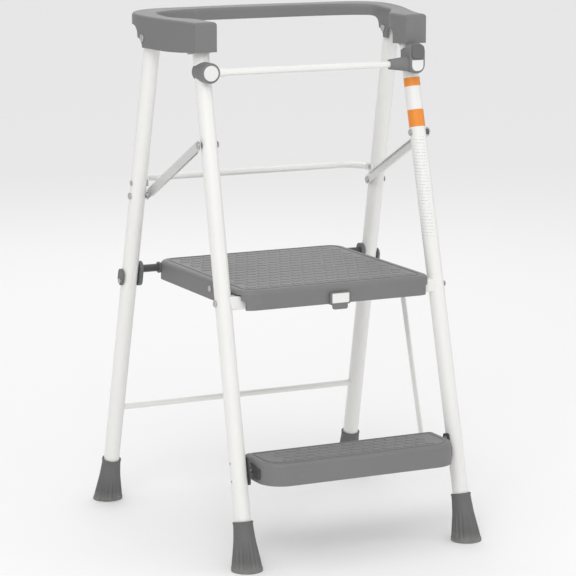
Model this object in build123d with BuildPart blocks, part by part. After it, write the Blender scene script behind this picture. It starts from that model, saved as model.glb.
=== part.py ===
from build123d import *
import os

# A folding two-step stool: two leg frames, a U-shaped handrail that joins them at the top,
# a large platform, a lower step that the platform drives by a link, and a swinging gate bar.
# Frame: millimetres, +Z up, the climbing side faces -Y, "left" is -X. The floor is Z = 0.

# ---------------------------------------------------------------- driving dimensions
leg_radius = 15.5
leg_bore = 14.0
front_x_floor, front_x_taper = 230.9, 0.0151   # front leg axis: x = floor value - taper * z
front_y_floor, front_lean = -290.3, 0.2437
rear_x_floor, rear_x_taper = 271.7, 0.0174
rear_y_floor, rear_lean = 290.3, -0.2307
fit_gap = 0.05                                 # radial clearance of a pin in its hole
head_gap = 0.3                                 # between a pin's head and the tube it bears on
play = 0.5                                     # side gap between parts that turn on each other

handrail_front_pivot_z = 931.7                 # A, on the front legs
handrail_rear_pivot_z = 948.6                  # B, on the rear legs
brace_front_z = 763.4                          # C, on the front legs
brace_rear_z = 638.0                           # D, on the rear legs
rod_z = 487.5                                  # E, the platform's rear rod on the rear legs
link_top_y, link_top_z = -63.2, 485.0          # F, on the platform's right side
step_pivot_z = 175.4                           # G, on the front legs
link_foot_y, link_foot_z = -160.2, 167.5       # H, on the lower step's rear arm

crossbar_z, crossbar_size = 478.0, 25.0
lower_bar_z, lower_bar_radius = 198.0, 6.0
upper_bar_z, upper_bar_radius, upper_bar_y = 664.0, 6.0, 190.0
rod_radius = 7.5

platform_half_width, platform_front, platform_rear = 201.0, -205.0, 197.0
platform_top, platform_bottom = 502.0, 465.0
step_half_width, step_front, step_rear = 200.0, -318.0, -207.0
step_top, step_bottom = 199.0, 157.0
foot_height = 87.0

gate_y, gate_z, gate_radius = -101.0, 895.5, 6.25
gate_hub_radius = 19.0
sides = ((-1, "left"), (1, "right"))

os.makedirs("parts", exist_ok=True)


def front_axis(side, z):
    """Point on a front leg's axis at height z."""
    return Vector(side * (front_x_floor - front_x_taper * z), front_y_floor + front_lean * z, z)


def rear_axis(side, z):
    """Point on a rear leg's axis at height z."""
    return Vector(side * (rear_x_floor - rear_x_taper * z), rear_y_floor + rear_lean * z, z)


def along(axis, side, low, high):
    """A plane at the low end of a leg stretch, its normal up the leg, and the stretch's length."""
    start, end = axis(side, low), axis(side, high)
    return Plane(start, z_dir=end - start), (end - start).length


def cross_plane(x, y, z):
    """A plane whose normal is +X, for pins and plates that lie across the stool."""
    return Plane((x, y, z), x_dir=(0, 1, 0), z_dir=(1, 0, 0))


def leg(axis, side, low, high, holes):
    """A straight tube, with a pin hole across it at each (height, radius) of holes."""
    plane, length = along(axis, side, low, high)
    with BuildPart() as tube:
        with BuildSketch(plane):
            Circle(leg_radius)
            Circle(leg_bore, mode=Mode.SUBTRACT)
        extrude(amount=length)
        for height, radius in holes:
            centre = axis(side, height)
            with BuildSketch(cross_plane(centre.X, centre.Y, centre.Z)):
                Circle(radius)
            extrude(amount=leg_radius + 5, both=True, mode=Mode.SUBTRACT)
    return tube


def pin(x_start, x_end, y, z, radius, head_radius, head, heads=(True, True)):
    """A pin along X from x_start to x_end, with a low domed head beyond each end that has one."""
    with BuildPart() as body:
        with BuildSketch(cross_plane(x_start, y, z)):
            Circle(radius)
        extrude(amount=x_end - x_start)
        for x, outward, wanted in ((x_start, -1, heads[0]), (x_end, 1, heads[1])):
            if wanted:
                with BuildSketch(cross_plane(x, y, z)):
                    Circle(head_radius)
                extrude(amount=outward * head)
                rim = body.edges().filter_by(GeomType.CIRCLE)
                outer = rim.filter_by_position(Axis.X, x + outward * head - 0.01, x + outward * head + 0.01)
                fillet(outer, head * 0.6)
    return body


# ---------------------------------------------------------------- legs and feet
crossbar_bolt_radius, brace_pin_radius, handrail_pin_radius = 3.0, 3.0, 4.0
bracket_pin_radius, clamp_bolt_radius, clamp_bolt_drop = 2.5, 3.0, 22.0
leg_foot_z = 11.0

for side, word in sides:
    front_leg = leg(front_axis, side, leg_foot_z, handrail_front_pivot_z + 12,
                    ((handrail_front_pivot_z, handrail_pin_radius + fit_gap),
                     (brace_front_z, brace_pin_radius + fit_gap),
                     (crossbar_z, crossbar_bolt_radius + fit_gap),
                     (step_pivot_z + 16, bracket_pin_radius + fit_gap),
                     (step_pivot_z - 16, bracket_pin_radius + fit_gap)))
    front_leg.part.label = f"front_leg_{word}"
    export_step(front_leg.part, f"parts/front_leg_{word}.step")

    rear_leg = leg(rear_axis, side, leg_foot_z, handrail_rear_pivot_z + 12,
                   ((handrail_rear_pivot_z, handrail_pin_radius + fit_gap),
                    (brace_rear_z, brace_pin_radius + fit_gap),
                    (upper_bar_z, bracket_pin_radius + fit_gap),
                    (rod_z - clamp_bolt_drop, clamp_bolt_radius + fit_gap)))
    rear_leg.part.label = f"rear_leg_{word}"
    export_step(rear_leg.part, f"parts/rear_leg_{word}.step")

    # A flared rubber boot, closed below the tube's end and cut level at the floor.
    for axis, frame_word in ((front_axis, "front"), (rear_axis, "rear")):
        axis_plane, axis_length = along(axis, side, 0.0, foot_height)
        tube_plane, tube_length = along(axis, side, leg_foot_z, foot_height + 5)
        section = Plane(axis_plane.origin, x_dir=axis_plane.x_dir, z_dir=-axis_plane.y_dir)
        with BuildPart() as foot:
            with BuildSketch(section):
                with BuildLine():
                    flare = Spline((30.5, -9), (29.0, 4), (22.6, 44), (19.2, 70), (18.4, axis_length))
                    Polyline(flare @ 1, (leg_radius, axis_length), (0, axis_length), (0, -9), flare @ 0)
                make_face()
            revolve(axis=Axis(axis_plane.origin, axis_plane.z_dir))
            with BuildSketch(tube_plane):
                Circle(leg_radius + fit_gap)
            extrude(amount=tube_length, mode=Mode.SUBTRACT)
            with BuildSketch(Plane.XY):
                with Locations((axis_plane.origin.X, axis_plane.origin.Y)):
                    Rectangle(120, 120)
            extrude(amount=-40, mode=Mode.SUBTRACT)
        foot.part.label = f"{frame_word}_foot_{word}"
        export_step(foot.part, f"parts/{frame_word}_foot_{word}.step")

# ---------------------------------------------------------------- front frame fittings
crossbar_y = front_axis(1, crossbar_z).Y
crossbar_wall = 1.6
with BuildPart() as front_crossbar:
    with BuildSketch(Plane.YZ):
        with Locations((crossbar_y, crossbar_z)):
            RectangleRounded(crossbar_size, crossbar_size, 3)
            RectangleRounded(crossbar_size - 2 * crossbar_wall, crossbar_size - 2 * crossbar_wall, 1.6,
                             mode=Mode.SUBTRACT)
    extrude(amount=front_axis(1, crossbar_z).X, both=True)
    for side, word in sides:
        plane, length = along(front_axis, side, crossbar_z - 40, crossbar_z + 40)
        with BuildSketch(plane):
            Circle(leg_radius + 0.02)
        extrude(amount=length, mode=Mode.SUBTRACT)
front_crossbar.part.label = "front_crossbar"
export_step(front_crossbar.part, "parts/front_crossbar.step")

# A plastic plug in each end of the crossbar takes the bolt that comes through the leg.
plug_inner, plug_outer = 188.0, 205.0
with BuildPart() as crossbar_plugs:
    for side, word in sides:
        with BuildSketch(cross_plane(side * plug_inner, crossbar_y, crossbar_z)):
            RectangleRounded(crossbar_size - 2 * crossbar_wall - 0.2, crossbar_size - 2 * crossbar_wall - 0.2, 1.5)
            Circle(crossbar_bolt_radius, mode=Mode.SUBTRACT)
        extrude(amount=side * (plug_outer - plug_inner))
crossbar_plugs.part.label = "crossbar_plugs"
export_step(crossbar_plugs.part, "parts/crossbar_plugs.step")

bolt_outer_x = front_axis(1, crossbar_z).X + leg_radius + head_gap
bolts = [pin(side * 190 if side > 0 else -bolt_outer_x, bolt_outer_x if side > 0 else -190.0,
             crossbar_y, crossbar_z, crossbar_bolt_radius, 6.2, 3.2, (side < 0, side > 0)) for side, word in sides]
crossbar_bolts = Compound(label="crossbar_bolts", children=[bolt.part for bolt in bolts])
export_step(crossbar_bolts, "parts/crossbar_bolts.step")

# Dark plates riveted to the legs' inner sides carry the lower step.
bracket_thickness, bracket_inner_x = 2.4, 209.9
bracket_rivet_offset = 16 * (1 + front_lean ** 2) ** 0.5
for side, word in sides:
    pivot = front_axis(side, step_pivot_z)
    with BuildPart() as step_bracket:
        face = Plane((side * bracket_inner_x, pivot.Y, pivot.Z), x_dir=(0, front_lean, 1), z_dir=(side, 0, 0))
        with BuildSketch(face):
            RectangleRounded(52, 22, 6)
            with Locations((-bracket_rivet_offset, 0), (bracket_rivet_offset, 0)):
                Circle(bracket_pin_radius, mode=Mode.SUBTRACT)
        extrude(amount=bracket_thickness)
    step_bracket.part.label = f"step_bracket_{word}"
    export_step(step_bracket.part, f"parts/step_bracket_{word}.step")

bracket_rivets = []
for side, word in sides:
    for height in (step_pivot_z - 16, step_pivot_z + 16):
        centre = front_axis(side, height)
        inner, outer = sorted((side * bracket_inner_x, side * (bracket_inner_x + 5.5)))
        bracket_rivets.append(pin(inner, outer, centre.Y, height, bracket_pin_radius, 4.5, 1.4,
                                  (side > 0, side < 0)).part)
step_bracket_rivets = Compound(label="step_bracket_rivets", children=bracket_rivets)
export_step(step_bracket_rivets, "parts/step_bracket_rivets.step")

step_pin_radius = 4.0
step_pivot_y = front_axis(1, step_pivot_z).Y
pins = [pin(*sorted((side * 195.0, side * bracket_inner_x)), step_pivot_y, step_pivot_z,
            step_pin_radius, 6.5, 2.0, (side > 0, side < 0)).part for side, word in sides]
step_pivot_pins = Compound(label="step_pivot_pins", children=pins)
export_step(step_pivot_pins, "parts/step_pivot_pins.step")

# ---------------------------------------------------------------- braces
brace_front = front_axis(1, brace_front_z)
brace_rear = rear_axis(1, brace_rear_z)
brace_web_x, brace_web, brace_flange, brace_width = 239.7, 1.6, 3.6, 18.0
brace_run = Vector(0, brace_rear.Y - brace_front.Y, brace_rear.Z - brace_front.Z)
brace_middle = Vector(0, (brace_front.Y + brace_rear.Y) / 2, (brace_front.Z + brace_rear.Z) / 2)

for side, word in sides:
    web_plane = Plane(brace_middle + Vector(side * brace_web_x, 0, 0), x_dir=brace_run, z_dir=(side, 0, 0))
    flange_plane = Plane(brace_middle + Vector(side * (brace_web_x - brace_flange), 0, 0),
                         x_dir=brace_run, z_dir=(side, 0, 0))
    half_run = brace_run.length / 2
    with BuildPart() as brace:
        with BuildSketch(web_plane):
            SlotCenterToCenter(brace_run.length, brace_width)
            with Locations((-half_run, 0), (half_run, 0)):
                Circle(brace_pin_radius + fit_gap, mode=Mode.SUBTRACT)
        extrude(amount=brace_web)
        with BuildSketch(flange_plane):
            with Locations((0, (brace_width - brace_web) / 2), (0, -(brace_width - brace_web) / 2)):
                Rectangle(brace_run.length - 34, brace_web)
        extrude(amount=brace_flange + brace_web)
    brace.part.label = f"brace_{word}"
    export_step(brace.part, f"parts/brace_{word}.step")

    # The rear end's rivet head, on the brace's inner face, with a spacer that stops short of the leg.
    inner, outer = sorted((side * brace_web_x, side * (brace_web_x + brace_web)))
    rear_head = pin(inner, outer, brace_rear.Y, brace_rear_z, brace_pin_radius, 6.5, 2.4, (side > 0, side < 0))
    with BuildPart() as end_rivet:
        add(rear_head.part)
        with BuildSketch(cross_plane(side * (brace_web_x + brace_web), brace_rear.Y, brace_rear_z)):
            Circle(5.5)
        extrude(amount=side * (brace_rear.X - leg_radius - 0.4 - brace_web_x - brace_web))
    end_rivet.part.label = f"brace_end_rivet_{word}"
    export_step(end_rivet.part, f"parts/brace_end_rivet_{word}.step")

front_pins, spacers, rear_rivets = [], [], []
for side, word in sides:
    near = side * (brace_front.X - leg_radius - head_gap)
    far = side * (brace_web_x + brace_web + 0.2)
    inner, outer = sorted((near, far))
    front_pins.append(pin(inner, outer, brace_front.Y, brace_front_z, brace_pin_radius, 6.5, 2.4).part)
    with BuildPart() as spacer:
        with BuildSketch(cross_plane(side * (brace_front.X + leg_radius + head_gap), brace_front.Y, brace_front_z)):
            Circle(5.5)
            Circle(brace_pin_radius + fit_gap, mode=Mode.SUBTRACT)
        extrude(amount=side * (brace_web_x - brace_front.X - leg_radius - head_gap - 0.3))
    spacers.append(spacer.part)
    inner, outer = sorted((side * (brace_rear.X - leg_radius + 0.4), side * (brace_rear.X + leg_radius + head_gap)))
    rear_rivets.append(pin(inner, outer, brace_rear.Y, brace_rear_z, brace_pin_radius, 6.5, 2.4,
                           (side < 0, side > 0)).part)
for name, pieces in (("brace_front_pins", front_pins), ("brace_spacers", spacers),
                     ("brace_leg_rivets", rear_rivets)):
    group = Compound(label=name, children=pieces)
    export_step(group, f"parts/{name}.step")

# ---------------------------------------------------------------- rear frame fittings
with BuildPart() as rear_lower_bar:
    centre = rear_axis(1, lower_bar_z)
    with BuildSketch(cross_plane(0, centre.Y, lower_bar_z)):
        Circle(lower_bar_radius)
    extrude(amount=centre.X, both=True)
    for side, word in sides:
        plane, length = along(rear_axis, side, lower_bar_z - 40, lower_bar_z + 40)
        with BuildSketch(plane):
            Circle(leg_radius + 0.02)
        extrude(amount=length, mode=Mode.SUBTRACT)
rear_lower_bar.part.label = "rear_lower_bar"
export_step(rear_lower_bar.part, "parts/rear_lower_bar.step")

# The upper bar bows backwards, so that the folded platform lies in front of it.
ear_centre = rear_axis(1, upper_bar_z)
ear_x = ear_centre.X - leg_radius - 2.3
ear_thickness = 2.0
with BuildPart() as rear_upper_bar:
    with BuildLine() as bow:
        FilletPolyline((-ear_x, ear_centre.Y + 12, upper_bar_z), (-ear_x + 3, ear_centre.Y + 22, upper_bar_z),
                       (-222, upper_bar_y, upper_bar_z), (222, upper_bar_y, upper_bar_z),
                       (ear_x - 3, ear_centre.Y + 22, upper_bar_z), (ear_x, ear_centre.Y + 12, upper_bar_z),
                       radius=(9, 22, 22, 9))
    with BuildSketch(Plane(bow.line @ 0, z_dir=bow.line % 0)):
        Circle(upper_bar_radius)
    sweep()
    for side, word in sides:
        ear_face = Plane((side * ear_x, ear_centre.Y + 5, upper_bar_z), x_dir=(0, 1, 0), z_dir=(side, 0, 0))
        with BuildSketch(ear_face):
            SlotOverall(34, 15)
            with Locations((-5, 0)):
                Circle(bracket_pin_radius + fit_gap, mode=Mode.SUBTRACT)
        extrude(amount=ear_thickness)
rear_upper_bar.part.label = "rear_upper_bar"
export_step(rear_upper_bar.part, "parts/rear_upper_bar.step")

rivets = [pin(*sorted((side * ear_x, side * (ear_centre.X + leg_radius + head_gap))), ear_centre.Y,
              upper_bar_z, bracket_pin_radius, 5.5, 0.7).part for side, word in sides]
upper_bar_rivets = Compound(label="upper_bar_rivets", children=rivets)
export_step(upper_bar_rivets, "parts/upper_bar_rivets.step")

# The rod that the platform turns on, held by a two-part clamp on each rear leg.
rod_y = rear_axis(1, rod_z).Y
rod_leg_x = rear_axis(1, rod_z).X
clamp_inner_x, clamp_thickness = rod_leg_x - leg_radius - 0.4 - 7.0, 7.0
with BuildPart() as platform_rod:
    with BuildSketch(cross_plane(0, rod_y, rod_z)):
        Circle(rod_radius)
    extrude(amount=clamp_inner_x + clamp_thickness - 1.0, both=True)
    chamfer(platform_rod.edges().filter_by(GeomType.CIRCLE), 0.8)
platform_rod.part.label = "platform_rod"
export_step(platform_rod.part, "parts/platform_rod.step")

clamp_bolt_z = rod_z - clamp_bolt_drop
clamp_bolt_y = rear_axis(1, clamp_bolt_z).Y
bolt_offset = clamp_bolt_drop * (1 + rear_lean ** 2) ** 0.5
for side, word in sides:
    with BuildPart() as rod_clamp:
        with BuildSketch(Plane((side * clamp_inner_x, rod_y, rod_z), x_dir=(0, rear_lean, 1), z_dir=(side, 0, 0))):
            with Locations((-9, 0)):
                SlotOverall(50, 27)
            Circle(rod_radius + fit_gap, mode=Mode.SUBTRACT)
            with Locations((-bolt_offset, 0)):
                Circle(clamp_bolt_radius + fit_gap, mode=Mode.SUBTRACT)
        extrude(amount=clamp_thickness)
        outer_x = rod_leg_x + leg_radius + 0.6
        with BuildSketch(Plane((side * outer_x, rod_y, rod_z), x_dir=(0, rear_lean, 1), z_dir=(side, 0, 0))):
            with Locations((-14, 0)):
                SlotOverall(33, 24)
            with Locations((-bolt_offset, 0)):
                Circle(clamp_bolt_radius + fit_gap, mode=Mode.SUBTRACT)
        extrude(amount=4.0)
    rod_clamp.part.label = f"rod_clamp_{word}"
    export_step(rod_clamp.part, f"parts/rod_clamp_{word}.step")

bolts = [pin(*sorted((side * clamp_inner_x, side * (rod_leg_x + leg_radius + 4.7))), clamp_bolt_y, clamp_bolt_z,
             clamp_bolt_radius, 5.5, 2.5).part for side, word in sides]
rod_clamp_bolts = Compound(label="rod_clamp_bolts", children=bolts)
export_step(rod_clamp_bolts, "parts/rod_clamp_bolts.step")

# ---------------------------------------------------------------- handrail
# An open-bottomed shell: two deep arms over the legs and a shallow rail behind. Its plan is one band
# of nearly constant width; its side view sets the lower edge, with a lobe round each rear pivot.
shell_wall, shell_top_wall = 2.6, 3.2
rail_front_y = -93.5
pivot_a_y, pivot_b_y = front_axis(1, handrail_front_pivot_z).Y, rear_axis(1, handrail_rear_pivot_z).Y
lobe_radius = 18.0
lobe_inner_x = 235.8
arm_inner_x = 197.5


def rail_plan(inset):
    """The handrail's plan band, with every wall moved inwards by inset."""
    with BuildSketch() as plan:
        with BuildLine():
            front_out = (241 - inset, rail_front_y + inset)
            outer = Spline(front_out, (262 - inset, 5), (276.5 - inset, 62), (279.5 - inset, 100),
                           (268 - 0.8 * inset, 140 - 0.6 * inset), (235 - 0.4 * inset, 163 - 0.9 * inset),
                           (150, 172 - inset), (0, 177 - inset),
                           tangents=((0.1, 1), (-1, 0)))
            end = Line((0, 177 - inset), (0, 139 + inset))
            back = Spline((0, 139 + inset), (150, 135 + inset), (212 + 0.5 * inset, 120 + 0.8 * inset),
                          (lobe_inner_x + inset, 88), tangents=((1, 0), (0, -1)))
            lobe = Line(back @ 1, (lobe_inner_x + inset, 54))
            neck = Spline(lobe @ 1, (217 + inset, 8), (arm_inner_x + inset, -40),
                          tangents=((0, -1), (0, -1)))
            block = Line(neck @ 1, (arm_inner_x + inset, rail_front_y + inset))
            front = Line(block @ 1, front_out)
        make_face()
        mirror(about=Plane.YZ)
    return plan.sketch


def rail_side():
    """The handrail's side view in the YZ plane."""
    with BuildSketch(Plane.YZ) as view:
        with BuildLine():
            top = Spline((-100, 988), (50, 990), (180, 997))
            back = Line(top @ 1, (180, 971.5))
            under = Line(back @ 1, (114, 971.5))
            rise = Spline(under @ 1, (pivot_b_y + lobe_radius, handrail_rear_pivot_z),
                          tangents=((-1, 0), (0, -1)))
            lobe = RadiusArc(rise @ 1, (pivot_b_y, handrail_rear_pivot_z - lobe_radius), -lobe_radius)
            belly = Spline(lobe @ 1, (0, 928.5), (-100, 933), tangents=((-1, 0), (-1, 0.06)))
            front = Line(belly @ 1, top @ 0)
        make_face()
    return view.sketch


def below_top(drop):
    """All that lies under the handrail's top line lowered by drop, in the YZ plane."""
    with BuildSketch(Plane.YZ) as view:
        with BuildLine():
            top = Spline((-100, 988 - drop), (50, 990 - drop), (180, 997 - drop))
            Polyline(top @ 1, (180, 900), (-100, 900), top @ 0)
        make_face()
    return view.sketch


arch_front_y, arch_rear_y, arch_top = -40.0, 52.0, 958.0
with BuildPart() as handrail_cavity:
    extrude(rail_plan(shell_wall), amount=1100)
    extrude(below_top(shell_top_wall), amount=320, both=True, mode=Mode.INTERSECT)

with BuildPart() as handrail:
    extrude(rail_plan(0), amount=1100)
    extrude(rail_side(), amount=320, both=True, mode=Mode.INTERSECT)
    crown = handrail.edges().filter_by_position(Axis.Z, 984, 1000).filter_by(lambda edge: edge.length > 20)
    fillet(crown, 6)
    add(handrail_cavity.part, mode=Mode.SUBTRACT)
    # The inner wall is arched between the block and the lobe, where the folded leg passes.
    for side, word in sides:
        with BuildSketch(Plane((side * 190, (arch_front_y + arch_rear_y) / 2, arch_top - 40), x_dir=(0, 1, 0),
                               z_dir=(side, 0, 0))):
            RectangleRounded(arch_rear_y - arch_front_y, 80, 16)
        extrude(amount=48.8, mode=Mode.SUBTRACT)
        with BuildSketch(cross_plane(side * 225, pivot_b_y, handrail_rear_pivot_z)):
            Circle(handrail_pin_radius)
        extrude(amount=side * 70, mode=Mode.SUBTRACT)
handrail.part.label = "handrail"
export_step(handrail.part, "parts/handrail.step")

pins = [pin(*sorted((side * 199.0, side * 243.0)), pivot_a_y, handrail_front_pivot_z, handrail_pin_radius,
            7.0, 2.0, (False, False)).part for side, word in sides]
handrail_front_pins = Compound(label="handrail_front_pins", children=pins)
export_step(handrail_front_pins, "parts/handrail_front_pins.step")

pins = [pin(*sorted((side * (lobe_inner_x - 0.1), side * 277.4)), pivot_b_y, handrail_rear_pivot_z,
            handrail_pin_radius, 7.5, 2.4).part for side, word in sides]
handrail_rear_rivets = Compound(label="handrail_rear_rivets", children=pins)
export_step(handrail_rear_rivets, "parts/handrail_rear_rivets.step")

# ---------------------------------------------------------------- platform
deck_thickness, skirt_wall, rib_wall = 5.0, 3.6, 2.4
bush_radius, bush_length = 9.0, 12.0
rib_bottom = 476.0
platform_depth = platform_rear - platform_front
platform_centre_y = (platform_rear + platform_front) / 2
corner_cut_x = 190.0
front_corner_cut_z, crossbar_cut_z = 483.0, 493.5

with BuildPart() as platform_cavity:
    with BuildSketch(Plane.XY.offset(platform_bottom - 5)):
        with Locations((0, platform_centre_y)):
            RectangleRounded(2 * (platform_half_width - skirt_wall), platform_depth - 2 * skirt_wall, 28)
    extrude(amount=platform_top - deck_thickness - platform_bottom + 5)

with BuildPart() as platform:
    with BuildSketch(Plane.XY.offset(platform_bottom)):
        with Locations((0, platform_centre_y)):
            RectangleRounded(2 * platform_half_width, platform_depth, 32)
    extrude(amount=platform_top - platform_bottom)
    fillet(platform.faces().sort_by(Axis.Z)[-1].edges(), 9)
    add(platform_cavity.part, mode=Mode.SUBTRACT)
    # Ribs under the deck, clear of the crossbar in front and of the rod behind.
    rib_front, rib_rear = crossbar_y + 26, rod_y - 14
    with BuildSketch(Plane.XY.offset(rib_bottom)):
        with Locations(*[(x, (rib_front + rib_rear) / 2) for x in (-130, -65, 0, 65, 130)]):
            Rectangle(rib_wall, rib_rear - rib_front)
        with Locations(*[(0, rib_front + (rib_rear - rib_front) * step / 5) for step in range(6)]):
            Rectangle(2 * (platform_half_width - skirt_wall) + 1, rib_wall)
    extrude(amount=platform_top - deck_thickness - rib_bottom + 0.5)
    # Two pads that rest on the crossbar, and a block that guides the release tab.
    with BuildSketch(Plane.XY.offset(crossbar_z + crossbar_size / 2 + 0.4)):
        with Locations((-120, crossbar_y), (120, crossbar_y)):
            RectangleRounded(70, 16, 3)
    extrude(amount=platform_top - deck_thickness - crossbar_z - crossbar_size / 2)
    # The corners are cut away over the crossbar's ends and in front of it.
    for side, word in sides:
        for cut_front, cut_rear, cut_top in ((crossbar_y - 17, crossbar_y + 17, crossbar_cut_z),
                                             (platform_front - 5, crossbar_y - 10, front_corner_cut_z)):
            with BuildSketch(Plane.XY.offset(platform_bottom - 5)):
                with Locations((side * (corner_cut_x + 10), (cut_front + cut_rear) / 2)):
                    Rectangle(20.0 + 4, cut_rear - cut_front)
            extrude(amount=cut_top - platform_bottom + 5, mode=Mode.SUBTRACT)
        with BuildSketch(cross_plane(side * (platform_half_width - 12), rod_y, rod_z)):
            Circle(bush_radius)
        extrude(amount=side * 20, mode=Mode.SUBTRACT)
    with BuildSketch(cross_plane(0, link_top_y, link_top_z)):
        Circle(step_pin_radius)
    extrude(amount=220, both=True, mode=Mode.SUBTRACT)

with BuildPart() as rod_bushes:
    for side, word in sides:
        with BuildSketch(cross_plane(side * (platform_half_width - 9), rod_y, rod_z)):
            Circle(bush_radius)
            Circle(rod_radius + fit_gap, mode=Mode.SUBTRACT)
        extrude(amount=side * bush_length)
        with BuildSketch(cross_plane(side * (platform_half_width + 0.3), rod_y, rod_z)):
            Circle(bush_radius + 2)
            Circle(rod_radius + fit_gap, mode=Mode.SUBTRACT)
        extrude(amount=side * 3)
rod_bushes.part.label = "rod_bushes"
export_step(rod_bushes.part, "parts/rod_bushes.step")

# ---------------------------------------------------------------- release tab, under the front edge
tab_width, tab_front, tab_plate_z, tab_plate = 42.0, platform_front - 6.5, 461.0, 3.4
tab_rod_z, tab_rod_radius, tab_rod_x = 478.0, 2.6, 12.0
tab_travel = 12.0
hook_rear_y = crossbar_y - crossbar_size / 2 + 9

with BuildPart() as latch_housing:
    with BuildSketch(Plane.XY.offset(467)):
        with Locations((0, platform_front + skirt_wall + 5.2)):
            RectangleRounded(60, 10, 2)
    extrude(amount=platform_top - deck_thickness - 467 - 0.1)
    with BuildSketch(Plane.XZ.offset(-platform_front + 1)):
        with Locations((-tab_rod_x, tab_rod_z), (tab_rod_x, tab_rod_z)):
            Circle(tab_rod_radius + fit_gap)
    extrude(amount=-20, mode=Mode.SUBTRACT)
latch_housing.part.label = "latch_housing"
export_step(latch_housing.part, "parts/latch_housing.step")

with BuildPart() as pull_tab:
    # The front face plate, with a thinner lip below it to pull on.
    with BuildSketch(Plane.XZ.offset(-tab_front - 4.5)):
        with Locations((0, 475.5)):
            RectangleRounded(tab_width, 23, 3)
        with Locations((0, 462)):
            RectangleRounded(31, 15, 4)
    extrude(amount=4.5)
    chamfer(pull_tab.faces().sort_by(Axis.Y)[0].edges(), 0.8)
    # The plate that runs back under the skirt and hooks below the crossbar.
    with BuildSketch(Plane.XY.offset(tab_plate_z)):
        with Locations((0, (tab_front + 3 + hook_rear_y) / 2)):
            Rectangle(26, hook_rear_y - tab_front - 3)
    extrude(amount=tab_plate)
    with BuildSketch(Plane.XZ.offset(-tab_front - 3)):
        with Locations((-tab_rod_x, tab_rod_z), (tab_rod_x, tab_rod_z)):
            Circle(tab_rod_radius)
    extrude(amount=-(crossbar_y - crossbar_size / 2 - 2 - tab_front - 3))
pull_tab.part.label = "pull_tab"
export_step(pull_tab.part, "parts/pull_tab.step")

with BuildPart() as tab_label:
    with BuildSketch(Plane.XZ.offset(-tab_front + 0.05)):
        with Locations((0, 476)):
            RectangleRounded(35, 18, 2)
    extrude(amount=0.8)
tab_label.part.label = "tab_label"
export_step(tab_label.part, "parts/tab_label.step")

# The tab's rods pass through the front skirt as well as the housing.
with BuildPart() as rod_holes:
    with BuildSketch(Plane.XZ.offset(-platform_front + 2)):
        with Locations((-tab_rod_x, tab_rod_z), (tab_rod_x, tab_rod_z)):
            Circle(tab_rod_radius + 0.1)
    extrude(amount=-8)
platform.part = platform.part - rod_holes.part
platform.part.label = "platform"
export_step(platform.part, "parts/platform.step")

# ---------------------------------------------------------------- link and lower step
link_x, link_thickness, link_width = 203.4, 2.4, 15.0
link_run = Vector(0, link_foot_y - link_top_y, link_foot_z - link_top_z)
link_middle = Vector(link_x, (link_foot_y + link_top_y) / 2, (link_foot_z + link_top_z) / 2)
with BuildPart() as step_link:
    with BuildSketch(Plane(link_middle, x_dir=link_run, z_dir=(1, 0, 0))):
        SlotCenterToCenter(link_run.length, link_width)
        with Locations((-link_run.length / 2, 0)):
            Circle(step_pin_radius + fit_gap, mode=Mode.SUBTRACT)
    extrude(amount=link_thickness)
    with BuildSketch(cross_plane(link_x + link_thickness, link_foot_y, link_foot_z)):
        Circle(5.5)
    extrude(amount=1.8)
step_link.part.label = "step_link"
export_step(step_link.part, "parts/step_link.step")

link_top_pin = pin(191.0, link_x + link_thickness + 0.2, link_top_y, link_top_z, step_pin_radius, 6.5, 1.8)
link_top_pin.part.label = "link_top_pin"
export_step(link_top_pin.part, "parts/link_top_pin.step")
left_rivet = pin(-platform_half_width, -platform_half_width + skirt_wall + 2, link_top_y, link_top_z, step_pin_radius,
                 6.0, 1.6, (True, False))
left_rivet.part.label = "platform_side_rivet"
export_step(left_rivet.part, "parts/platform_side_rivet.step")

step_deck, step_wall = 4.0, 3.2
step_depth = step_rear - step_front


def step_plan(inset):
    """The lower step's plan: square rear corners, wide round front ones."""
    with BuildSketch() as plan:
        with Locations((0, (step_front + step_rear) / 2)):
            Rectangle(2 * (step_half_width - inset), step_depth - 2 * inset)
        front_corners = plan.vertices().group_by(Axis.Y)[0]
        fillet(front_corners, 46 - inset)
        fillet(plan.vertices().group_by(Axis.Y)[-1], 9 - inset)
    return plan.sketch


with BuildPart() as step_cavity:
    add(step_plan(step_wall))
    extrude(amount=step_top - step_deck)

with BuildPart() as lower_step:
    extrude(step_plan(0), amount=step_top)
    fillet(lower_step.faces().sort_by(Axis.Z)[-1].edges(), 7)
    add(step_cavity.part, mode=Mode.SUBTRACT)
    with BuildSketch(Plane.XY):
        with Locations((0, 0)):
            Rectangle(900, 900)
    extrude(amount=step_bottom, mode=Mode.SUBTRACT)
    rib_z = step_bottom + 14
    with BuildSketch(Plane.XY.offset(rib_z)):
        with Locations(*[(x, (step_front + step_rear) / 2) for x in (-150, -90, -30, 30, 90, 150)]):
            Rectangle(rib_wall, step_depth - 2 * step_wall + 1)
        with Locations((0, (step_front + step_rear) / 2)):
            Rectangle(2 * (step_half_width - step_wall) - 20, rib_wall)
    extrude(amount=step_top - step_deck - rib_z + 0.5)
    for side, word in sides:
        with BuildSketch(cross_plane(side * (step_half_width - 12), step_pivot_y, step_pivot_z)):
            Circle(step_pin_radius + fit_gap)
        extrude(amount=side * 20, mode=Mode.SUBTRACT)
lower_step.part.label = "lower_step"
export_step(lower_step.part, "parts/lower_step.step")

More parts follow.
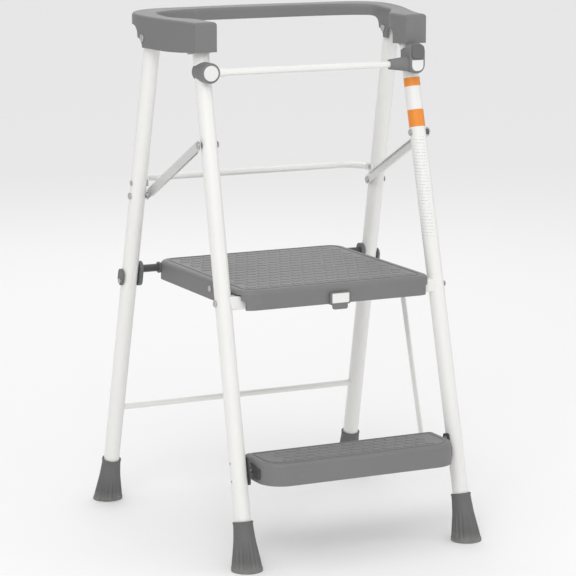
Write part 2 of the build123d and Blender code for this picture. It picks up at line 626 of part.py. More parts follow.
# A steel plate on each end of the step turns on the leg's pin; the right one reaches back to the link.
end_plate_x, end_plate = step_half_width + 0.25, 2.3
for side, word in sides:
    reach = (link_foot_y, link_foot_z) if side > 0 else (step_pivot_y + 22, step_pivot_z - 2)
    with BuildPart() as step_end:
        with BuildSketch(cross_plane(side * end_plate_x, 0, 0)):
            with BuildLine():
                Polyline((step_pivot_y - 34, step_pivot_z + 9), (step_pivot_y + 6, step_pivot_z + 13),
                         (reach[0] + 3, reach[1] + 9), (reach[0] + 9, reach[1]), (reach[0] + 1, reach[1] - 9),
                         (step_pivot_y, step_pivot_z - 13), (step_pivot_y - 34, step_pivot_z - 10), close=True)
            make_face()
            with Locations((step_pivot_y, step_pivot_z)):
                Circle(step_pin_radius + fit_gap, mode=Mode.SUBTRACT)
        extrude(amount=side * end_plate)
        fillet(step_end.edges().filter_by(Axis.X), 3)
    step_end.part.label = f"step_end_{word}"
    export_step(step_end.part, f"parts/step_end_{word}.step")

# ---------------------------------------------------------------- gate bar
hub_x = -front_axis(1, gate_z).X
hub_face_y, cap_face_y = -93.2, -110.5
gate_bolt_radius, bolt_root_y = 4.0, -89.6
leg_plane, leg_length = along(front_axis, -1, gate_z - 60, gate_z + 60)
with BuildPart() as gate_saddle:
    with BuildSketch(Plane((hub_x, -66, gate_z), x_dir=(1, 0, 0), z_dir=(0, -1, 0))):
        Circle(gate_hub_radius)
        Circle(gate_bolt_radius, mode=Mode.SUBTRACT)
    extrude(amount=-66 - hub_face_y)
    with BuildSketch(leg_plane):
        Circle(leg_radius + fit_gap)
    extrude(amount=leg_length, mode=Mode.SUBTRACT)
gate_saddle.part.label = "gate_saddle"
export_step(gate_saddle.part, "parts/gate_saddle.step")

with BuildPart() as gate_bolt:
    with BuildSketch(Plane((hub_x, bolt_root_y, gate_z), x_dir=(1, 0, 0), z_dir=(0, -1, 0))):
        Circle(gate_bolt_radius)
    extrude(amount=bolt_root_y - cap_face_y - 1.5)
gate_bolt.part.label = "gate_bolt"
export_step(gate_bolt.part, "parts/gate_bolt.step")

with BuildPart() as gate_hub:
    with BuildSketch(Plane((hub_x, hub_face_y - play, gate_z), x_dir=(1, 0, 0), z_dir=(0, -1, 0))):
        Circle(gate_hub_radius)
        Circle(gate_bolt_radius + fit_gap, mode=Mode.SUBTRACT)
    extrude(amount=hub_face_y - play - cap_face_y)
    fillet(gate_hub.edges().filter_by(GeomType.CIRCLE).group_by(Axis.Y)[0].sort_by(SortBy.LENGTH)[-1], 2)
    with BuildSketch(cross_plane(hub_x + gate_hub_radius - 7, gate_y, gate_z)):
        Circle(gate_radius)
    extrude(amount=20, mode=Mode.SUBTRACT)
gate_hub.part.label = "gate_hub"
export_step(gate_hub.part, "parts/gate_hub.step")

with BuildPart() as gate_cap:
    with BuildSketch(Plane((hub_x, cap_face_y, gate_z), x_dir=(1, 0, 0), z_dir=(0, -1, 0))):
        Circle(14.5)
    extrude(amount=2.4)
    fillet(gate_cap.edges().group_by(Axis.Y)[0], 1.2)
gate_cap.part.label = "gate_cap"
export_step(gate_cap.part, "parts/gate_cap.step")

ferrule_start, ferrule_length = hub_x + gate_hub_radius - 1.0, 12.0
with BuildPart() as gate_ferrule:
    with BuildSketch(cross_plane(ferrule_start, gate_y, gate_z)):
        Circle(8.0)
        Circle(gate_radius, mode=Mode.SUBTRACT)
    extrude(amount=ferrule_length)
    with BuildSketch(Plane((hub_x, 0, gate_z), x_dir=(1, 0, 0), z_dir=(0, -1, 0))):
        Circle(gate_hub_radius + 0.05)
    extrude(amount=200, mode=Mode.SUBTRACT)
gate_ferrule.part.label = "gate_ferrule"
export_step(gate_ferrule.part, "parts/gate_ferrule.step")

sleeve_start, sleeve_end, head_x = 158.0, 199.0, 210.0
head_back_y, head_front_y = -94.6, -118.5
head_low_z, head_high_z, head_width = 877.0, 935.0, 33.0
with BuildPart() as gate_bar:
    with BuildSketch(cross_plane(hub_x + gate_hub_radius - 6, gate_y, gate_z)):
        Circle(gate_radius)
        Circle(gate_radius - 1.2, mode=Mode.SUBTRACT)
    extrude(amount=sleeve_end - 8 - (hub_x + gate_hub_radius - 6))
gate_bar.part.label = "gate_bar"
export_step(gate_bar.part, "parts/gate_bar.step")

peg_z, peg_radius = 905.0, 4.0
button_z, button_size, button_travel = 919.0, 26.0, 3.0
with BuildPart() as gate_head:
    with BuildSketch(Plane.XZ.offset(-head_back_y)):
        with Locations((head_x, (head_low_z + head_high_z) / 2)):
            SlotOverall(head_high_z - head_low_z, head_width, rotation=90)
    extrude(amount=head_back_y - head_front_y)
    fillet(gate_head.faces().sort_by(Axis.Y)[0].edges(), 3)
    with BuildSketch(cross_plane(sleeve_start, gate_y, gate_z)) as sleeve_small:
        Circle(9.6)
    with BuildSketch(cross_plane(sleeve_end, gate_y - 4, gate_z)) as sleeve_large:
        Ellipse(10.4, 15.0)
    loft()
    with BuildSketch(cross_plane(sleeve_start - 1, gate_y, gate_z)):
        Circle(gate_radius)
    extrude(amount=sleeve_end - 8 - sleeve_start + 1, mode=Mode.SUBTRACT)
    # A slot behind, open below, lets the head lift off the keeper's peg.
    with BuildSketch(Plane.XZ.offset(-head_back_y - 1)):
        with Locations((head_x, (peg_z + 6 + head_low_z - 5) / 2)):
            Rectangle(12, peg_z + 6 - head_low_z + 5)
    extrude(amount=12, mode=Mode.SUBTRACT)
    # The pocket that the button slides in.
    with BuildSketch(Plane.XZ.offset(-head_front_y + 1)):
        with Locations((head_x, button_z)):
            RectangleRounded(button_size + 0.8, button_size + 0.8, 7.4)
    extrude(amount=-9.5, mode=Mode.SUBTRACT)
gate_head.part.label = "gate_head"
export_step(gate_head.part, "parts/gate_head.step")

with BuildPart() as gate_button:
    with BuildSketch(Plane.XZ.offset(-head_front_y - 4.5)):
        with Locations((head_x, button_z)):
            RectangleRounded(button_size, button_size, 7)
    extrude(amount=7.5)
    fillet(gate_button.faces().sort_by(Axis.Y)[0].edges(), 1.5)
gate_button.part.label = "gate_button"
export_step(gate_button.part, "parts/gate_button.step")

with BuildPart() as gate_label:
    with BuildSketch(Plane.XZ.offset(-head_front_y + 0.05)):
        with BuildLine():
            FilletPolyline((head_x - 12, 903), (head_x - 12, 882.5), (head_x + 12, 882.5), (head_x + 12, 903),
                           radius=10)
            Line((head_x + 12, 903), (head_x - 12, 903))
        make_face()
    extrude(amount=0.7)
gate_label.part.label = "gate_label"
export_step(gate_label.part, "parts/gate_label.step")

keeper_plane, keeper_length = along(front_axis, 1, gate_z - 60, gate_z + 60)
with BuildPart() as gate_keeper:
    with BuildSketch(Plane.XZ.offset(66)):
        with Locations((front_axis(1, gate_z).X + 1, 904)):
            RectangleRounded(34, 40, 6)
    extrude(amount=28)
    with BuildSketch(keeper_plane):
        Circle(leg_radius + fit_gap)
    extrude(amount=keeper_length, mode=Mode.SUBTRACT)
    with BuildSketch(Plane.XZ.offset(93)):
        with Locations((head_x, peg_z)):
            Circle(peg_radius)
    extrude(amount=10.5)
gate_keeper.part.label = "gate_keeper"
export_step(gate_keeper.part, "parts/gate_keeper.step")

# ---------------------------------------------------------------- stickers on the right front leg
# Thin sleeves round the leg's front: two coloured bands with a white label below.
label_gap, label_thickness = 0.02, 0.3
with BuildPart() as leg_labels:
    for low, high in ((849.0, 865.0), (773.0, 805.0), (565.0, 753.0)):
        plane, length = along(front_axis, 1, low, high)
        with BuildSketch(plane):
            Circle(leg_radius + label_gap + label_thickness)
            Circle(leg_radius + label_gap, mode=Mode.SUBTRACT)
        extrude(amount=length)
    with BuildSketch(Plane((0, front_axis(1, 720).Y + 4, 720), x_dir=(1, 0, 0), z_dir=(0, -front_lean, -1))):
        with Locations((front_axis(1, 720).X, -40)):
            Rectangle(60, 80)
    extrude(amount=200, both=True, mode=Mode.SUBTRACT)
leg_labels.part.label = "leg_labels"
export_step(leg_labels.part, "parts/leg_labels.step")
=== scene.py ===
# %% [markdown]
# # A folding step stool with a handrail
# The mechanical model comes in as a fixed frame: tubes, shells, pins and links at their real sizes.
# This script adds what that model leaves out, such as the fluted rubber feet and the treads, and
# gives every piece its finish. All lengths are in metres, with +Z up and the climbing side at -Y.

# %% Load the frame
import math

import bpy
from mathutils import Matrix, Vector


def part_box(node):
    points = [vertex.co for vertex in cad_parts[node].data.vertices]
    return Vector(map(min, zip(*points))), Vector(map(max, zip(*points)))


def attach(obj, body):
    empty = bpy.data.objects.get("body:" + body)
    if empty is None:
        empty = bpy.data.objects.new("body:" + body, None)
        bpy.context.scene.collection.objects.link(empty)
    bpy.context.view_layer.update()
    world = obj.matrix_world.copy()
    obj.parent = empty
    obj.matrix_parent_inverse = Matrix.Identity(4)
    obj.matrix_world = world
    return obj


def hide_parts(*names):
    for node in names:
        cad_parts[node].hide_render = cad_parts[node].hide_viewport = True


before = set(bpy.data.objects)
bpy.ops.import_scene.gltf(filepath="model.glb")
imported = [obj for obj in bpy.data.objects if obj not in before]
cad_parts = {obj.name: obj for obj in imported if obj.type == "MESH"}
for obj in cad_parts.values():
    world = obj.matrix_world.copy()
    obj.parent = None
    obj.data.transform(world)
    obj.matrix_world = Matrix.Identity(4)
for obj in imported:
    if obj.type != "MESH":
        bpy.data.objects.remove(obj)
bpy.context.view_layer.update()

print("nodes in the frame:", len(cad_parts))

# %% [markdown]
# ## Camera
# A long lens far from the stool keeps the legs nearly parallel. The camera is aimed by turning its
# own -Z axis along the line to the target, which is easier to read than three angles.

# %% Place the camera
camera_place = Vector((-2.1736, -4.4666, 1.3856))
camera_target = Vector((-0.0068, 0.0, 0.4598))
camera_data = bpy.data.cameras.new("camera")
camera_data.lens = 162.9
camera_data.sensor_width = 36.0
camera = bpy.data.objects.new("camera", camera_data)
bpy.context.scene.collection.objects.link(camera)
camera.location = camera_place
camera.rotation_euler = (camera_target - camera_place).to_track_quat("-Z", "Y").to_euler()
bpy.context.scene.camera = camera
print("camera distance:", round((camera_target - camera_place).length, 3))

# %% [markdown]
# ## Modelling helpers
# Operators act on whatever is selected, and the frame's nodes arrive selected. So each piece starts
# from an empty selection, and faces or points are picked in code by where they are.


# %% Selection and editing helpers
def clear_selection():
    """Leave edit mode and deselect every object."""
    if bpy.context.object and bpy.context.object.mode != "OBJECT":
        bpy.ops.object.mode_set(mode="OBJECT")
    bpy.ops.object.select_all(action="DESELECT")


def pick(piece, wanted, kind="VERT"):
    """Select the points, edges or faces whose centre passes the test, and stay in edit mode."""
    bpy.context.view_layer.objects.active = piece
    bpy.ops.object.mode_set(mode="EDIT")
    bpy.ops.mesh.select_mode(type=kind)
    bpy.ops.mesh.select_all(action="DESELECT")
    bpy.ops.object.mode_set(mode="OBJECT")
    mesh = piece.data
    points = mesh.vertices
    if kind == "VERT":
        for point in points:
            point.select = wanted(point.co)
    elif kind == "EDGE":
        for edge in mesh.edges:
            first, second = (points[i].co for i in edge.vertices)
            edge.select = wanted((first + second) / 2, second - first)
    else:
        for face in mesh.polygons:
            face.select = wanted(face.center, face.normal)
    bpy.ops.object.mode_set(mode="EDIT")


def apply_modifier(piece, kind, **settings):
    """Add a modifier, set it and apply it."""
    clear_selection()
    piece.select_set(True)
    bpy.context.view_layer.objects.active = piece
    modifier = piece.modifiers.new(kind.lower(), kind)
    for name, value in settings.items():
        setattr(modifier, name, value)
    bpy.ops.object.modifier_apply(modifier=modifier.name)


def settle(piece, name, finish, body, smooth=35):
    """Name a finished piece, put its place into its mesh, shade it and hang it on its body."""
    clear_selection()
    piece.select_set(True)
    bpy.context.view_layer.objects.active = piece
    bpy.ops.object.transform_apply(location=True, rotation=True, scale=True)
    bpy.ops.object.shade_smooth_by_angle(angle=math.radians(smooth))
    piece.name = name
    piece.data.materials.clear()
    piece.data.materials.append(finish)
    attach(piece, body)
    print(name, "has", len(piece.data.polygons), "faces")
    return piece


# %% [markdown]
# ## Shader maths
# A finish is easiest to read as a sum: a base value plus a little noise. This class wraps a node's
# output, so that + - * / on it add the Math nodes, and one method adds any other node.


# %% Wrap sockets for shader maths
class Signal:
    """A node's output, on which arithmetic adds Math nodes."""

    def __init__(self, finish, socket):
        self.finish, self.socket = finish, socket

    def math(self, operation, first, second):
        node = self.finish.node("ShaderNodeMath", {"operation": operation}, {0: first, 1: second})
        return Signal(self.finish, node.outputs[0])

    def __add__(self, other):
        return self.math("ADD", self, other)

    def __sub__(self, other):
        return self.math("SUBTRACT", self, other)

    def __rsub__(self, other):
        return self.math("SUBTRACT", other, self)

    def __mul__(self, other):
        return self.math("MULTIPLY", self, other)

    def __gt__(self, other):
        return self.math("GREATER_THAN", self, other)

    def __lt__(self, other):
        return self.math("LESS_THAN", self, other)

    __radd__, __rmul__ = __add__, __mul__


class Finish:
    """A material under construction, round one Principled shader."""

    def __init__(self, name, colour, roughness, **constants):
        self.material = bpy.data.materials.new(name)
        self.material.use_nodes = True
        self.tree = self.material.node_tree
        self.shader = self.tree.nodes["Principled BSDF"]
        self.shader.inputs["Base Color"].default_value = (*colour, 1)
        self.shader.inputs["Roughness"].default_value = roughness
        for socket, value in constants.items():
            self.shader.inputs[socket.replace("_", " ")].default_value = value
        self.place = Signal(self, self.node("ShaderNodeTexCoord").outputs["Object"])

    def node(self, kind, settings=None, inputs=None):
        made = self.tree.nodes.new(kind)
        for name, value in (settings or {}).items():
            setattr(made, name, value)
        for name, value in (inputs or {}).items():
            self.feed(made.inputs[name], value)
        return made

    def feed(self, socket, value):
        if isinstance(value, Signal):
            self.tree.links.new(value.socket, socket)
        else:
            socket.default_value = value

    def noise(self, scale, detail=2.0, stretch=(1, 1, 1)):
        """Soft noise from 0 to 1; stretch makes it longer or finer along an axis."""
        spread = self.node("ShaderNodeMapping", {}, {"Vector": self.place, "Scale": stretch})
        made = self.node("ShaderNodeTexNoise", {}, {"Vector": Signal(self, spread.outputs[0]),
                                                    "Scale": scale, "Detail": detail})
        return Signal(self, made.outputs[0])

    def axes(self):
        """The object's x, y and z as three signals."""
        split = self.node("ShaderNodeSeparateXYZ", {}, {0: self.place})
        return [Signal(self, output) for output in split.outputs]

    def blend(self, factor, first, second):
        """One colour where the factor is 0, the other where it is 1."""
        made = self.node("ShaderNodeMix", {"data_type": "RGBA"}, {"Factor": factor})
        self.feed(made.inputs[6], first if isinstance(first, Signal) else (*first, 1))
        self.feed(made.inputs[7], second if isinstance(second, Signal) else (*second, 1))
        return Signal(self, made.outputs[2])

    def colour(self, value):
        self.feed(self.shader.inputs["Base Color"], value)

    def roughness(self, value):
        self.feed(self.shader.inputs["Roughness"], value)

    def bump(self, height, distance, strength=1.0):
        made = self.node("ShaderNodeBump", {}, {"Height": height, "Distance": distance,
                                                "Strength": strength})
        self.feed(self.shader.inputs["Normal"], Signal(self, made.outputs[0]))


# %% [markdown]
# ## Finishes
# The tubes have a glossy powder coat, which is never quite flat: it has a fine orange peel. The
# plastic shells are moulded against a sandblasted tool, which leaves an even grain. The feet are
# rubber, and pick up a little dust near the floor.

# %% The powder coat and its metals
powder_white, powder_shade = (0.86, 0.855, 0.835), (0.81, 0.805, 0.785)
powder = Finish("powder_coat", powder_white, 0.3, Coat_Weight=0.35, Coat_Roughness=0.12)
powder.colour(powder.blend(powder.noise(6.0, 3.0), powder_white, powder_shade))
powder.roughness(0.24 + 0.14 * powder.noise(40.0, 3.0))
powder.bump(powder.noise(750.0, 2.0), 0.00008, 0.35)

silver_light, silver_dark = (0.80, 0.80, 0.79), (0.66, 0.66, 0.655)
silver = Finish("drawn_silver", silver_light, 0.3, Metallic=0.85)
drawn = silver.noise(60.0, 3.0, (40, 1.2, 40))
silver.colour(silver.blend(drawn, silver_light, silver_dark))
silver.roughness(0.26 + 0.16 * drawn)
silver.bump(drawn, 0.00006, 0.4)

zinc_light, zinc_dark = (0.62, 0.62, 0.60), (0.40, 0.40, 0.40)
zinc = Finish("zinc_plate", zinc_light, 0.35, Metallic=0.9)
zinc.colour(zinc.blend(zinc.noise(180.0, 4.0), zinc_light, zinc_dark))
zinc.roughness(0.28 + 0.2 * zinc.noise(260.0, 3.0))
zinc.bump(zinc.noise(900.0, 2.0), 0.00005, 0.5)

coat_black, coat_grey = (0.045, 0.046, 0.048), (0.075, 0.076, 0.08)
dark_coat = Finish("dark_coat", coat_black, 0.4, Coat_Weight=0.15)
dark_coat.colour(dark_coat.blend(dark_coat.noise(25.0, 3.0), coat_black, coat_grey))
dark_coat.roughness(0.34 + 0.16 * dark_coat.noise(120.0, 3.0))
dark_coat.bump(dark_coat.noise(800.0, 2.0), 0.00006, 0.4)
print("metal finishes made")


# %% The moulded plastic, the rubber and the white trim
def moulded(name, light, dark, gloss, grain):
    """A moulded plastic: broad tone, faint scuffs and an even grain."""
    made = Finish(name, light, gloss)
    tone = made.blend(made.noise(4.5, 3.0), light, dark)
    scuff = (made.noise(55.0, 6.0, (1, 6, 1)) - 0.62) * 1.6
    scuff = scuff.math("MAXIMUM", scuff, 0.0)
    pale = tuple(min(1.0, part * 1.5) for part in light)
    made.colour(made.blend(scuff, tone, pale))
    made.roughness(gloss + 0.12 * made.noise(90.0, 3.0))
    made.bump(made.noise(1500.0, 2.0), grain, 0.6)
    return made


shell_light, shell_dark = (0.205, 0.206, 0.206), (0.172, 0.173, 0.173)
shell = moulded("moulded_grey", shell_light, shell_dark, 0.46, 0.00012)
button_light, button_dark = (0.15, 0.151, 0.152), (0.12, 0.121, 0.122)
button_finish = moulded("moulded_button", button_light, button_dark, 0.4, 0.0001)
trim_light, trim_dark = (0.82, 0.82, 0.81), (0.76, 0.76, 0.75)
trim = moulded("white_trim", trim_light, trim_dark, 0.32, 0.00004)

rubber_light, rubber_dark = (0.155, 0.156, 0.156), (0.118, 0.119, 0.119)
dust_colour, dust_height = (0.27, 0.265, 0.255), 0.02
rubber = Finish("foot_rubber", rubber_light, 0.6)
_, _, foot_z = rubber.axes()
low = 1.0 - foot_z * (1 / dust_height)
dust = low.math("MAXIMUM", low, 0.0) * rubber.noise(70.0, 4.0)
rubber.colour(rubber.blend(dust, rubber.blend(rubber.noise(12.0, 3.0), rubber_light, rubber_dark),
                           dust_colour))
rubber.roughness(0.52 + 0.18 * rubber.noise(60.0, 3.0))
rubber.bump(rubber.noise(1100.0, 3.0), 0.00012, 0.5)
print("plastic and rubber finishes made")

# %% [markdown]
# ## Stickers
# The right front leg has two orange bands over a white label. The label's print is a plain pattern
# of pale lines with no words. Height chooses the colour, so one finish serves all the bands.

# %% The leg stickers and the plain white ones
orange, sticker_white, ink = (0.83, 0.27, 0.025), (0.84, 0.84, 0.82), (0.25, 0.25, 0.25)
label_top = 0.7675        # the white label ends here and the orange bands begin
line_pitch, line_height = 6.0, 1.6      # the label's lines of print, in millimetres
print_edge = 0.2235       # no print further round the leg than this
sticker = Finish("leg_sticker", sticker_white, 0.35, Coat_Weight=0.2)
side_x, _, height = sticker.axes()
in_orange = height > label_top
row = height.math("MODULO", height * 1000.0, line_pitch)
broken = sticker.noise(420.0, 1.0, (1, 1, 0.02)) > 0.44
printed = (row < line_height) * (side_x < print_edge) * broken
label_tone = sticker.blend(printed * 0.3, sticker_white, ink)
sticker.colour(sticker.blend(in_orange, label_tone, orange))
sticker.roughness(0.3 + 0.1 * sticker.noise(80.0, 2.0))
sticker.bump(sticker.noise(500.0, 2.0), 0.00003, 0.3)
plate = Finish("blank_sticker", sticker_white, 0.35, Coat_Weight=0.2)
plate.colour(plate.blend(plate.noise(30.0, 3.0), sticker_white, (0.78, 0.78, 0.765)))
plate.roughness(0.3 + 0.12 * plate.noise(90.0, 2.0))
plate.bump(plate.noise(600.0, 2.0), 0.00003, 0.3)
print("stickers made")


# %% [markdown]
# ## Finishing the frame's own nodes
# Tubes, brackets, pins and shells already have their true shape, so they stay as they are and only
# get a finish. A table of names by finish keeps this in one place.

# %% Give every node of the frame its finish
finish_of = {
    powder: ("front_leg_left", "front_leg_right", "rear_leg_left", "rear_leg_right", "front_crossbar",
             "rear_lower_bar", "rear_upper_bar", "gate_bar", "gate_ferrule", "step_link"),
    silver: ("brace_left", "brace_right"),
    dark_coat: ("step_end_left", "step_end_right", "step_bracket_left", "step_bracket_right",
                "platform_rod"),
    trim: ("crossbar_plugs", "gate_cap"),
    plate: ("tab_label", "gate_label"),
    sticker: ("leg_labels",),
    button_finish: ("gate_button", "latch_housing", "rod_clamp_left", "rod_clamp_right",
                    "rod_bushes", "brace_spacers"),
    shell: ("handrail", "platform", "pull_tab", "lower_step", "gate_saddle", "gate_hub", "gate_head",
            "gate_keeper"),
    rubber: ("front_foot_left", "front_foot_right", "rear_foot_left", "rear_foot_right"),
    zinc: ("crossbar_bolts", "step_bracket_rivets", "step_pivot_pins", "brace_front_pins",
           "gate_bolt", "handrail_front_pins", "handrail_rear_rivets", "upper_bar_rivets",
           "rod_clamp_bolts", "brace_leg_rivets", "brace_end_rivet_left", "brace_end_rivet_right",
           "link_top_pin", "platform_side_rivet"),
}
finished = set()
for finish, names in finish_of.items():
    for name in names:
        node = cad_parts[name]
        node.data.materials.clear()
        node.data.materials.append(finish.material)
        finished.add(name)
print("nodes without a finish:", sorted(set(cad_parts) - finished))

# %% [markdown]
# ## Fluted feet
# Each foot is a flared rubber boot with a smooth collar and eighteen hollow flutes that run out at a
# lip. It is modelled upright, ring by ring, from one circle. The flutes are made by drawing some of
# each ring's points inwards. Then the boot is laid along its leg and its base is pressed flat on the
# floor, as the leaning leg needs.

# %% Sizes of the feet and the lines of the legs
flutes, points_per_flute, base_radius = 18, 6, 0.0292
land_half = 0.12        # half of the land between two flutes, as a share of their spacing
foot_length, tube_radius, lip_height = 0.0899, 0.01555, 0.0055
leg_lines = {   # point on the floor for +X, and the run for each metre of height
    "front": (Vector((0.2309, -0.2903, 0.0)), Vector((-0.0151, 0.2437, 1.0))),
    "rear": (Vector((0.2717, 0.2903, 0.0)), Vector((-0.0174, -0.2307, 1.0))),
}
level_reach = 0.04      # the rings below this height turn level with the floor
# Height along the boot, radius there, and how deep the flutes are.
boot_rings = ((0.0035, 0.0296, 0.0), (lip_height, 0.0293, 0.0), (0.0070, 0.0284, 0.0012),
              (0.0100, 0.0280, 0.0030), (0.0190, 0.0266, 0.0034), (0.0290, 0.0249, 0.0030),
              (0.0390, 0.0232, 0.0023), (0.0480, 0.0217, 0.0014), (0.0550, 0.0208, 0.0005),
              (0.0600, 0.0202, 0.0), (0.0740, 0.0190, 0.0), (0.0850, 0.0184, 0.0),
              (0.0866, 0.0191, 0.0), (0.0890, 0.0191, 0.0), (foot_length, 0.0186, 0.0),
              (foot_length, 0.0164, 0.0), (0.0885, tube_radius, 0.0), (0.0700, tube_radius, 0.0))


# %% Model one upright boot
def flute_share(angle):
    """How far into a flute this direction is: 1 in its middle, 0 on the land between two."""
    turn = (angle / (2 * math.pi) * flutes) % 1.0
    if not land_half < turn < 1 - land_half:
        return 0.0
    return max(0.0, math.sin(math.pi * (turn - land_half) / (1 - 2 * land_half))) ** 0.8


def upright_boot():
    """The boot along +Z, its base ring on the floor."""
    clear_selection()
    count = flutes * points_per_flute
    bpy.ops.mesh.primitive_circle_add(vertices=count, radius=base_radius, fill_type="NOTHING",
                                      location=(0, 0, 0))
    boot = bpy.context.object
    bpy.ops.object.mode_set(mode="EDIT")
    bpy.ops.mesh.select_all(action="SELECT")
    last_height, last_radius = 0.0, base_radius
    for height, radius, _ in boot_rings:
        bpy.ops.mesh.extrude_region_move(
            TRANSFORM_OT_translate={"value": (0, 0, height - last_height)})
        scale = radius / last_radius
        bpy.ops.transform.resize(value=(scale, scale, 1), center_override=(0, 0, height))
        last_height, last_radius = height, radius
    bpy.ops.object.mode_set(mode="OBJECT")
    for height, radius, depth in boot_rings:
        if depth == 0.0:
            continue
        for step in range(1, points_per_flute // 2 + 1):
            share = flute_share(2 * math.pi * step / count)
            if share == 0.0:
                continue

            def in_flute(point, level=height, wide=radius, step=step):
                if abs(point.z - level) > 1e-5 or abs(point.xy.length - wide) > 1e-4:
                    return False
                index = round(math.atan2(point.y, point.x) / (2 * math.pi) * count) % count
                return index % points_per_flute in (step, points_per_flute - step)

            pick(boot, in_flute)
            scale = 1 - share * depth / radius
            bpy.ops.transform.resize(value=(scale, scale, 1), center_override=(0, 0, height))
            bpy.ops.object.mode_set(mode="OBJECT")
    pick(boot, lambda point: point.z < 1e-4)
    bpy.ops.mesh.fill()
    bpy.ops.object.mode_set(mode="OBJECT")
    return boot


boot = upright_boot()
print("boot points:", len(boot.data.vertices))


# %% Lay a copy of the boot along each leg
def stand_on_leg(name, word, side):
    """A copy of the boot, laid along its leg, its base pressed flat on the floor."""
    clear_selection()
    foot = boot.copy()
    foot.data = boot.data.copy()
    bpy.context.scene.collection.objects.link(foot)
    floor_point, run = leg_lines[word]
    mirror = Vector((side, 1, 1))
    lean = (run * mirror).normalized()
    base = floor_point * mirror
    turn = Vector((0, 0, 1)).rotation_difference(lean).to_matrix().to_4x4()
    foot.matrix_world = Matrix.Translation(base) @ turn @ boot.matrix_world
    foot.select_set(True)
    bpy.context.view_layer.objects.active = foot
    bpy.ops.object.transform_apply(location=True, rotation=True, scale=True)

    for height in [0.0] + [ring[0] for ring in boot_rings if ring[0] < level_reach]:
        pick(foot, lambda point: abs((point - base).dot(lean) - height) < 1e-4)
        tilt_kept = max(0.0, height - lip_height) / level_reach
        bpy.ops.transform.resize(value=(1, 1, tilt_kept), center_override=base + lean * height)
        bpy.ops.object.mode_set(mode="OBJECT")
    body = "front_frame" if word == "front" else "rear_frame"
    settle(foot, name + "_fluted", rubber.material, body, smooth=40)
    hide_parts(name)
    return foot


feet = [stand_on_leg(f"{word}_foot_{hand}", word, side)
        for word in leg_lines for side, hand in ((-1, "left"), (1, "right"))]
bpy.data.objects.remove(boot)
print("feet:", len(feet))

# %% [markdown]
# ## Treads
# Both steps are ribbed so that a shoe grips: rows of short cross ribs, each row set half a cell
# along from the one before, inside a smooth border with a low bead. One rib is shaped from a cube,
# and two array modifiers lay it out, because a rib repeated hundreds of times must stay simple.


# %% Ribs and bead on top of a step
def tread_ribs(name, body, low, high, top, columns, pitch, rib_height=0.0011):
    """Rows of short ribs over the flat between low and high, every other row half a cell along."""
    cell = (high[0] - low[0]) / columns
    rows = round((high[1] - low[1]) / pitch)
    pitch = (high[1] - low[1]) / rows
    rib_long, rib_wide = cell * 0.7, pitch * 0.45
    fields = []
    for shift in (0, 1):
        clear_selection()
        place = (low[0] + cell * (0.5 + 0.5 * shift), low[1] + pitch * (0.5 + shift), top)
        bpy.ops.mesh.primitive_cube_add(size=1, location=place)
        rib = bpy.context.object
        rib.scale = (rib_long, rib_wide, rib_height * 2)
        bpy.ops.object.transform_apply(location=False, rotation=False, scale=True)
        pick(rib, lambda point: point.z < 0)
        bpy.ops.transform.resize(value=(1.04, 1.3, 0.2), center_override=place)
        pick(rib, lambda middle, along: middle.z > 0, "EDGE")
        bpy.ops.mesh.bevel(offset=rib_height * 0.8, segments=3)
        bpy.ops.object.mode_set(mode="OBJECT")
        apply_modifier(rib, "ARRAY", count=columns - shift, use_relative_offset=False,
                       use_constant_offset=True, constant_offset_displace=(cell, 0, 0))
        apply_modifier(rib, "ARRAY", count=(rows + 1 - shift) // 2, use_relative_offset=False,
                       use_constant_offset=True, constant_offset_displace=(0, 2 * pitch, 0))
        fields.append(rib)
    clear_selection()
    for field in fields:
        field.select_set(True)
    bpy.context.view_layer.objects.active = fields[0]
    bpy.ops.object.join()
    return settle(bpy.context.object, name, shell.material, body, smooth=50)


bead_sunk = 0.0004      # how far the bead starts below the step's top


def tread_bead(name, body, low, high, top, corner, wide=0.0032, high_by=0.0012):
    """A low bead round the tread; corner gives the corner radii at its front and its back."""
    clear_selection()
    size = (high[0] - low[0], high[1] - low[1])
    centre = ((high[0] + low[0]) / 2, (high[1] + low[1]) / 2, top - bead_sunk)
    bpy.ops.mesh.primitive_plane_add(size=1, location=centre)
    bead = bpy.context.object
    bead.scale = (*size, 1)
    bpy.ops.object.transform_apply(location=False, rotation=False, scale=True)
    for front, radius in ((True, corner[0]), (False, corner[1])):
        edge_y = -size[1] / 2 if front else size[1] / 2
        pick(bead, lambda point: abs(point.y - edge_y) < 1e-5 and abs(abs(point.x) - size[0] / 2) < 1e-5)
        bpy.ops.mesh.bevel(offset=radius, segments=10, affect="VERTICES")
        bpy.ops.object.mode_set(mode="OBJECT")
    pick(bead, lambda centre, normal: True, "FACE")
    bpy.ops.mesh.inset(thickness=wide)
    bpy.ops.mesh.delete(type="FACE")
    bpy.ops.object.mode_set(mode="OBJECT")
    pick(bead, lambda centre, normal: True, "FACE")
    bpy.ops.mesh.extrude_region_move(TRANSFORM_OT_translate={"value": (0, 0, high_by + bead_sunk)})
    bpy.ops.mesh.select_all(action="SELECT")
    bpy.ops.mesh.normals_make_consistent(inside=False)
    bpy.ops.object.mode_set(mode="OBJECT")
    pick(bead, lambda middle, along: middle.z > 1e-4, "EDGE")
    bpy.ops.mesh.bevel(offset=high_by * 0.5, segments=3)
    bpy.ops.object.mode_set(mode="OBJECT")
    return settle(bead, name, shell.material, body, smooth=50)


# %% Tread the platform and the lower step
def inside(box, left, front, back):
    """The corners of a tread, drawn in from a step's box at its sides, its front and its back."""
    (low_x, low_y, _), (high_x, high_y, _) = box
    return (low_x + left, low_y + front), (high_x - left, high_y - back)


platform_box, step_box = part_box("platform"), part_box("lower_step")
platform_top, step_top = platform_box[1][2], step_box[1][2]
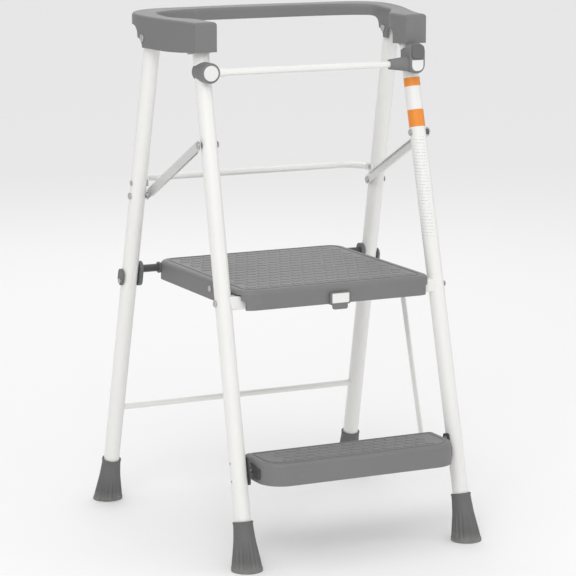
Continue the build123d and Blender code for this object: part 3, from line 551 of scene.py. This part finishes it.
# How far each tread stays inside its step, then how many ribs in a row and how far apart the rows are.
platform_border, platform_columns, platform_pitch = 0.024, 15, 0.0253
tread_ribs("platform_ribs", "platform", *inside(platform_box, platform_border, platform_border,
                                                platform_border),
           platform_top, platform_columns, platform_pitch)
bead_inset, bead_corners = 0.0145, (0.02, 0.02)
tread_bead("platform_bead", "platform", *inside(platform_box, bead_inset, bead_inset, bead_inset),
           platform_top, bead_corners)
step_sides, step_border, step_columns, step_pitch = 0.04, 0.017, 14, 0.0195
tread_ribs("step_ribs", "lower_step", *inside(step_box, step_sides, step_border, step_border),
           step_top, step_columns, step_pitch)
step_bead_sides, step_bead_front, step_bead_back, step_bead_corners = 0.012, 0.011, 0.009, (0.036, 0.006)
tread_bead("step_bead", "lower_step", *inside(step_box, step_bead_sides, step_bead_front,
                                              step_bead_back),
           step_top, step_bead_corners)

# %% [markdown]
# ## Floor and light
# A pale floor that runs on far behind the stool, one soft light above to the left and weaker ones
# from the right and behind. The sky is white in front and behind, and dimmer to both sides, so that
# the white tubes get soft grey edges, as between a studio's dark flags.

# %% Stage and lights
clear_selection()
bpy.ops.mesh.primitive_plane_add(size=60, location=(0, 0, 0))
floor = bpy.context.object
floor.name = "floor"
paper = Finish("pale_floor", (0.93, 0.93, 0.93), 0.9)
floor.data.materials.append(paper.material)

sideways = (0.9, -0.436, 0.0)       # the camera's left and right, along the floor
dimming_starts, side_strength = 0.35, 0.35
world = bpy.data.worlds.new("studio")
world.use_nodes = True
sky = world.node_tree.nodes["Background"]
heading = world.node_tree.nodes.new("ShaderNodeTexCoord")
across = world.node_tree.nodes.new("ShaderNodeVectorMath")
across.operation = "DOT_PRODUCT"
across.inputs[1].default_value = sideways
away = world.node_tree.nodes.new("ShaderNodeMath")
away.operation = "ABSOLUTE"
dimming = world.node_tree.nodes.new("ShaderNodeMapRange")
dimming.inputs["From Min"].default_value = dimming_starts
dimming.inputs["From Max"].default_value = 1.0
dimming.inputs["To Min"].default_value = 1.0
dimming.inputs["To Max"].default_value = side_strength
links = world.node_tree.links
links.new(heading.outputs["Generated"], across.inputs[0])
links.new(across.outputs["Value"], away.inputs[0])
links.new(away.outputs[0], dimming.inputs["Value"])
links.new(dimming.outputs[0], sky.inputs["Strength"])
sky.inputs["Color"].default_value = (1.0, 1.0, 1.0, 1)
bpy.context.scene.world = world
stool_middle = 0.5


def soft_light(name, place, size, power):
    """A square light that faces the stool's middle."""
    data = bpy.data.lights.new(name, "AREA")
    data.size, data.energy = size, power
    light = bpy.data.objects.new(name, data)
    bpy.context.scene.collection.objects.link(light)
    light.location = place
    aim = Vector((0, 0, stool_middle)) - Vector(place)
    light.rotation_euler = aim.to_track_quat("-Z", "Y").to_euler()


soft_light("key", (-1.6, -2.4, 3.0), 1.6, 34)
soft_light("fill", (2.8, -2.0, 1.6), 1.6, 9)
soft_light("back", (0.8, 3.0, 2.6), 2.0, 12)
bpy.context.scene.view_settings.view_transform = "Standard"
